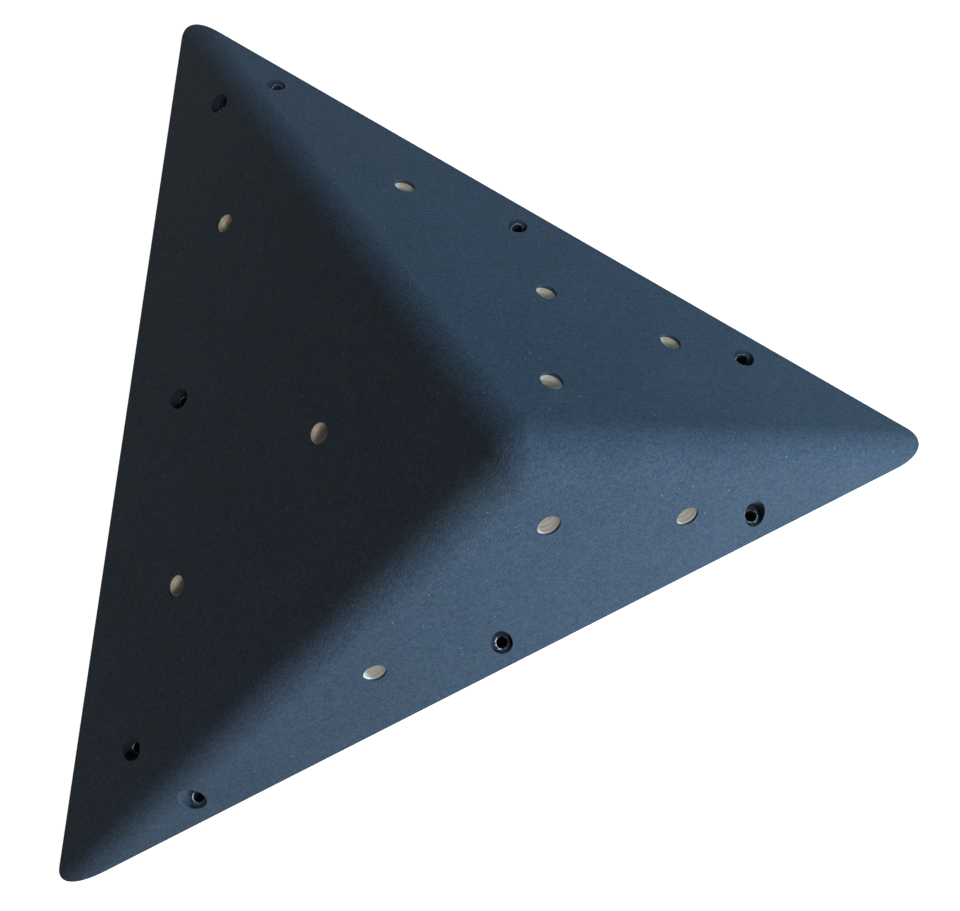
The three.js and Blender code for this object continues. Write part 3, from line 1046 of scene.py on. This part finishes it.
# The broken edge of the coat where the wall screws bite: pale filler and raw wood show through in flecks.
# Their bright bluish white is also a painted glint, for light caught by the rim deep in the seat.
def chipped_coat_edge():
    finish, tree, place_now = new_finish("chipped_coat_edge")
    flecks = noise(tree, place_now, 1.1 * MM, 2.0)
    share = remap(tree, flecks, (0.42, 0.56))
    # Both pale colours are partly a painted glint.
    colour = blend(tree, share, linear("#A3AEBB"), linear("#E4EAF2"))
    return surface(finish, colour, 0.6, (flecks, 0.5, 0.2 * MM))


# Wood in the holes of the wall screws, painted a dark dull slate: painted shade for the dark depth of these
# narrow holes.
def bore_with_painted_shade():
    finish, tree, place_now = new_finish("wood_soaked_with_coat_mist")
    shade_blotch = noise(tree, place_now, 2 * MM, 3.0)
    share = remap(tree, shade_blotch, (0.4, 0.65))
    colour = blend(tree, share, linear("#3A4652"), linear("#4E565C"))
    return surface(finish, colour, 0.75, specular=0.1)


PLY_LAYERS = 13
# How far the glue lines sway, in layers. The depth is held that far inside the panel, because lines would
# show on its faces otherwise.
PLY_SWAY = 0.12
# How deep a painted shade reaches into the cut edges of each panel from its face: it stands for the shadow
# under the rim of its holes.
PAINTED_SHADE_DEPTHS = {"left": 0.5 * MM, "upper": 0.8 * MM, "lower": 0.0}


# Rotary-cut birch veneers glued crosswise: pale plies between thin dark glue lines, each with its own grain,
# with a near-black painted shade along the top of the cut edges.
def birch_plywood(solid, face, colours):
    finish, tree, place_now = new_finish(f"raw_birch_plywood_{face.name}")
    form = solid.form
    mapped = laid_along(tree, place_now, face.start, [np.cross(face.up, face.out), face.up, face.out])
    depth = add(tree, "SeparateXYZ", {0: mapped}).outputs["Z"]
    start = form.coat_thickness + GAP
    layer_thickness = form.ply_thickness / PLY_LAYERS
    wobble = noise(tree, mapped, 18 * MM, 2.0)
    sunk = calculate(tree, "MULTIPLY_ADD", depth, -1 / layer_thickness, -start / layer_thickness - PLY_SWAY)
    level = calculate(tree, "MULTIPLY_ADD", wobble, 2 * PLY_SWAY, sunk)
    shade_reach = PAINTED_SHADE_DEPTHS[face.name] / layer_thickness
    # Painted shade: full near the face, gone below the given depth.
    painted_rim_shade = remap(tree, level, (shade_reach - PLY_SWAY, shade_reach + PLY_SWAY), (0.95, 0.0))
    level = add(tree, "Clamp", {"Value": level, "Min": PLY_SWAY, "Max": PLY_LAYERS - PLY_SWAY}).outputs[0]
    layer = calculate(tree, "FLOOR", level)
    within = calculate(tree, "FRACT", level)
    odd = calculate(tree, "FLOORED_MODULO", layer, 2.0)
    long_way = drawn_out(tree, mapped, (0.07, 1.0, 1.0))
    cross_way = drawn_out(tree, mapped, (1.0, 0.07, 1.0))
    way = add(tree, "Mix", {"Factor": odd, 4: long_way, 5: cross_way}, data_type="VECTOR").outputs[1]
    jump = calculate(tree, "MULTIPLY", layer, 37.31)
    fibres = noise(tree, way, 0.9 * MM, 4.0, {"W": jump, "Roughness": 0.6}, noise_dimensions="4D")
    figure = noise(tree, way, 9 * MM, 3.0, {"W": jump, "Distortion": 0.6}, noise_dimensions="4D")
    tone = remap(tree, fibres, (0.3, 0.7), (0.88, 1.12))
    flame = remap(tree, figure, (0.35, 0.65), (0.9, 1.07))
    alternate = remap(tree, odd, (0.0, 1.0), (1.0, 0.84))
    product = calculate(tree, "MULTIPLY", calculate(tree, "MULTIPLY", tone, flame), alternate)
    wood = blend(tree, 1.0, (*colours.birch, 1.0), product, "MULTIPLY")
    seam = calculate(tree, "ABSOLUTE", calculate(tree, "SUBTRACT", within, 0.5))
    line = remap(tree, seam, (0.42, 0.47), (0.0, 0.75))
    glued = blend(tree, line, wood, linear("#7A5C40"))
    # The near-black blue here is painted shade under the rim of the holes.
    colour = blend(tree, painted_rim_shade, glued, linear("#1A2229"))
    heap = calculate(tree, "MULTIPLY_ADD", line, -0.6, fibres)
    return surface(finish, colour, 0.62, (heap, 0.35, 0.12 * MM))


# Planed pine: warm straight grain along the strip, with darker late-wood lines every few millimetres.
def planed_pine(ridge, start):
    finish, tree, place_now = new_finish(f"planed_pine_{ridge.name}")
    inward = unit(ridge.inward)
    mapped = laid_along(tree, place_now, start, [ridge.down, inward, np.cross(ridge.down, inward)])
    drawn = drawn_out(tree, mapped, (0.035, 1.0, 1.0))
    rings = add(tree, "TexWave", {"Vector": drawn, "Scale": 1 / (7 * MM), "Distortion": 2.5, "Detail": 2.0,
                                  "Detail Scale": 1.4},
                wave_type="BANDS", bands_direction="DIAGONAL", wave_profile="SAW").outputs["Fac"]
    fibres = noise(tree, drawn, 0.7 * MM, 4.0)
    late = remap(tree, rings, (0.55, 1.0), (0.0, 0.7))
    wood = blend(tree, late, linear("#DDBB85"), linear("#B88A50"))
    tone = remap(tree, fibres, (0.3, 0.7), (0.88, 1.08))
    colour = blend(tree, 1.0, wood, tone, "MULTIPLY")
    return surface(finish, colour, 0.55, (fibres, 0.3, 0.1 * MM))


# Turned steel with a zinc plating: a bright metal with a soft cloudy bloom, blue-white or passivated yellow.
def zinc_plating(name, pale, dark):
    finish, tree, place_now = new_finish(name)
    cloud = noise(tree, place_now, 3.5 * MM, 4.0)
    share = remap(tree, cloud, (0.35, 0.65))
    colour = blend(tree, share, linear(dark), linear(pale))
    rough = remap(tree, cloud, (0.3, 0.7), (0.26, 0.4))
    fine = noise(tree, place_now, 0.5 * MM, 2.0)
    return surface(finish, colour, rough, (fine, 0.12, 0.05 * MM), metallic=1.0)


# Operators

class VOLUME_OT_grip_coat(Operator):
    """Builds the gritty coat: one closed skin over all three faces, with its hold holes and screw seats."""

    bl_idname = "volume.grip_coat"
    bl_label = "Grip coat"

    def execute(self, context):
        solid = pyramid(context.scene.volume_form)
        colours = context.scene.volume_colours
        finishes = [sprayed_grit_coat(colours), chipped_coat_edge()]
        build("textured_grip_coat", coat_patches(solid), finishes, ["grip_coat"])
        return {"FINISHED"}


class VOLUME_OT_panels(Operator):
    """Builds the three mitred plywood panels with their drilled holes."""

    bl_idname = "volume.panels"
    bl_label = "Plywood panels"

    def execute(self, context):
        solid = pyramid(context.scene.volume_form)
        # The bores of the wall screws get a finish painted dark as their shade.
        bore = bore_with_painted_shade()
        for face in solid.faces.values():
            mesh = drilled(board_mesh(solid, face), cutter_mesh(solid, face))
            smooth_by_angle(mesh, 30)
            finishes = [birch_plywood(solid, face, context.scene.volume_colours), bore]
            piece = place(f"{face.name}_plywood", mesh, finishes, [f"{face.name}_panel"])
            shaded_bores = in_screw_holes(solid, face, piece.data)
            piece.data.polygons.foreach_set("material_index", shaded_bores.astype(np.int32))
        return {"FINISHED"}


STRIP_BEVEL = 0.35 * MM


class VOLUME_OT_strips(Operator):
    """Softens the edges of the glue strips and gives them their grain."""

    bl_idname = "volume.strips"
    bl_label = "Glue strips"

    def execute(self, context):
        solid = pyramid(context.scene.volume_form)
        for ridge in solid.ridges.values():
            node = f"{ridge.name}_glue_strip"
            shape = bmesh.new()
            shape.from_mesh(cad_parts[node].data)
            bmesh.ops.remove_doubles(shape, verts=shape.verts, dist=0.01 * MM)
            bmesh.ops.dissolve_limit(shape, angle_limit=0.01, verts=shape.verts, edges=shape.edges)
            bmesh.ops.bevel(shape, geom=shape.edges[:], offset=STRIP_BEVEL, segments=2, profile=0.5,
                            affect="EDGES", clamp_overlap=True)
            mesh = bpy.data.meshes.new(node)
            shape.to_mesh(mesh)
            shape.free()
            smooth_by_angle(mesh, 50)
            place(f"{ridge.name}_pine_strip", mesh, [planed_pine(ridge, solid.peak)], [node])
        return {"FINISHED"}


class VOLUME_OT_t_nuts(Operator):
    """Builds the threaded T-nuts and seats one behind each hold hole."""

    bl_idname = "volume.t_nuts"
    bl_label = "T-nuts"

    def execute(self, context):
        solid = pyramid(context.scene.volume_form)
        finish = zinc_plating("bright_zinc_plated_steel", "#D3D7DB", "#A9AEB4")
        patches = nut_patches(solid.form)
        for face in solid.faces.values():
            for index, nut in enumerate(face.nuts):
                node = f"{face.name}_t_nut_{index + 1}"
                carried = moved(patches, nut - face.out * solid.back, nut_axes(face))
                build(f"{node}_threaded", carried, [finish], [node])
        return {"FINISHED"}


class VOLUME_OT_screws(Operator):
    """Builds the three small screws in the flange of each T-nut."""

    bl_idname = "volume.screws"
    bl_label = "Flange screws"

    def execute(self, context):
        solid = pyramid(context.scene.volume_form)
        seat = solid.back + 2 * GAP + NUT_FLANGE_THICKNESS
        finish = zinc_plating("yellow_passivated_zinc_steel", "#DCC07A", "#B8984C")
        patches = screw_patches()
        count = 0
        for face in solid.faces.values():
            for index, nut in enumerate(face.nuts):
                for number, spot in enumerate(screw_spots(face, nut)):
                    twist = SCREW_TWIST * count
                    across = np.cos(twist) * face.up + np.sin(twist) * face.side
                    axes = np.array([across, np.cross(face.out, across), face.out])
                    node = f"{face.name}_t_nut_{index + 1}_screw_{number + 1}"
                    carried = moved(patches, spot - face.out * seat, axes)
                    build(f"{node}_threaded", carried, [finish], [node])
                    count += 1
        return {"FINISHED"}


CAMERA_PLACE = (24.95591519 * MM, -115.14590482 * MM, 489.69011257 * MM)
CAMERA_TURN = (11.5222481, 3.9844168, 3.63806095)
CAMERA_LENS = 32.346375
# Lamps: bearing and rise in degrees, distance and width in metres, power in watts, and colour.
LAMPS = {
    "window": (25.0, 17.0, 2.6, 0.6, 65.0, "#A6DAFF"),
    "window_foot": (-32.0, 10.0, 0.9, 0.34, 13.5, "#CDE6FF"),
    "skylight": (-45.0, 50.0, 2.4, 0.8, 23.0, "#FFFAF8"),
    "warm_room": (150.0, 12.0, 2.4, 1.0, 3.6, "#FFD9C8"),
}
# The lamps aim at this point of the object.
LAMP_TARGET = (0, 0, 40 * MM)
# Half the width of the floor, in metres, and how far it lies below the wall plane.
FLOOR_REACH = 1.8
FLOOR_DROP = 0.2 * MM


class VOLUME_OT_stage(Operator):
    """Sets up the white floor, the soft lamps, the surroundings and the camera."""

    bl_idname = "volume.stage"
    bl_label = "Stage"

    def execute(self, context):
        scene = context.scene
        scene.view_settings.view_transform = "Standard"
        world = bpy.data.worlds.new("plain_studio")
        world.use_nodes = True
        world.node_tree.nodes.clear()
        tree = world.node_tree
        dim = add(tree, "Background", {"Color": linear("#FFFFFF"), "Strength": 0.01})
        bright = add(tree, "Background", {"Color": linear("#FFFFFF"), "Strength": 1.0})
        mix = add(tree, "MixShader", {0: shown_rays(tree), 1: dim.outputs[0], 2: bright.outputs[0]})
        add(tree, "OutputWorld", {"Surface": mix.outputs[0]})
        scene.world = world

        floor_mesh = bpy.data.meshes.new("floor")
        signs = ((-1, -1), (1, -1), (1, 1), (-1, 1))
        square = [(x * FLOOR_REACH, y * FLOOR_REACH, -FLOOR_DROP) for x, y in signs]
        under, _ = contour(pyramid(scene.volume_form), 4 * MM, -0.5 * FLOOR_DROP)
        shaded = tuple(range(4, 4 + len(under)))
        floor_mesh.from_pydata(square + under.tolist(), [], [(0, 1, 2, 3), shaded])
        floor_mesh.polygons.foreach_set("material_index", [0, 1])
        floor = bpy.data.objects.new("floor", floor_mesh)
        scene.collection.objects.link(floor)
        finish, tree, _ = new_finish("white_seamless_paper")
        paper = add(tree, "BsdfDiffuse", {"Color": linear("#AAAAAA")})
        shown = add(tree, "BsdfDiffuse", {"Color": linear("#B3B3B3")})
        glow = add(tree, "Emission", {"Color": linear("#FFFFFF"), "Strength": 0.93})
        lit = add(tree, "AddShader", {0: shown.outputs[0], 1: glow.outputs[0]})
        mix = add(tree, "MixShader", {0: shown_rays(tree), 1: paper.outputs[0], 2: lit.outputs[0]})
        floor_mesh.materials.append(close(finish, mix))
        # Under the volume the floor is a darker grey: painted shade, which shows only through the holes.
        finish, tree, _ = new_finish("ground_in_the_shade")
        shade = add(tree, "BsdfDiffuse", {"Color": linear("#616161")})
        floor_mesh.materials.append(close(finish, shade))

        for name, (bearing, rise, distance, size, power, colour) in LAMPS.items():
            lamp = bpy.data.lights.new(name, "AREA")
            lamp.shape = "DISK"
            lamp.size = size
            lamp.energy = power
            lamp.color = linear(colour)[:3]
            holder = bpy.data.objects.new(name, lamp)
            across, tall = np.radians((bearing, rise))
            aim = Vector((np.cos(tall) * np.cos(across), np.cos(tall) * np.sin(across), np.sin(tall)))
            holder.location = aim * distance + Vector(LAMP_TARGET)
            holder.rotation_euler = aim.to_track_quat("Z", "Y").to_euler()
            scene.collection.objects.link(holder)

        lens = bpy.data.cameras.new("photograph_view")
        lens.sensor_width = 36.0
        lens.lens = CAMERA_LENS
        lens.clip_start = 0.01
        lens.clip_end = 50.0
        camera = bpy.data.objects.new("photograph_view", lens)
        camera.location = CAMERA_PLACE
        camera.rotation_euler = np.radians(CAMERA_TURN).tolist()
        scene.collection.objects.link(camera)
        scene.camera = camera
        return {"FINISHED"}


class VOLUME_PT_sidebar(Panel):
    """Lists the sizes, the colours and the steps that build the volume."""

    bl_idname = "VOLUME_PT_sidebar"
    bl_label = "Climbing volume"
    bl_space_type = "VIEW_3D"
    bl_region_type = "UI"
    bl_category = "Volume"

    def draw(self, context):
        for group in (context.scene.volume_form, context.scene.volume_colours):
            for name in group.__annotations__:
                self.layout.prop(group, name)
        for step in STEPS:
            self.layout.operator(step.bl_idname)


STEPS = (
    VOLUME_OT_stage,
    VOLUME_OT_grip_coat,
    VOLUME_OT_panels,
    VOLUME_OT_strips,
    VOLUME_OT_t_nuts,
    VOLUME_OT_screws,
)
CLASSES = (VolumeForm, VolumeColours, *STEPS, VOLUME_PT_sidebar)


def register():
    for item in CLASSES:
        bpy.utils.register_class(item)
    bpy.types.Scene.volume_form = PointerProperty(type=VolumeForm)
    bpy.types.Scene.volume_colours = PointerProperty(type=VolumeColours)


def unregister():
    del bpy.types.Scene.volume_colours
    del bpy.types.Scene.volume_form
    for item in reversed(CLASSES):
        bpy.utils.unregister_class(item)


def main():
    register()
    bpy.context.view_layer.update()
    bpy.ops.volume.stage()
    bpy.ops.volume.grip_coat()
    bpy.ops.volume.panels()
    bpy.ops.volume.strips()
    bpy.ops.volume.t_nuts()
    bpy.ops.volume.screws()


if __name__ == "__main__":
    main()
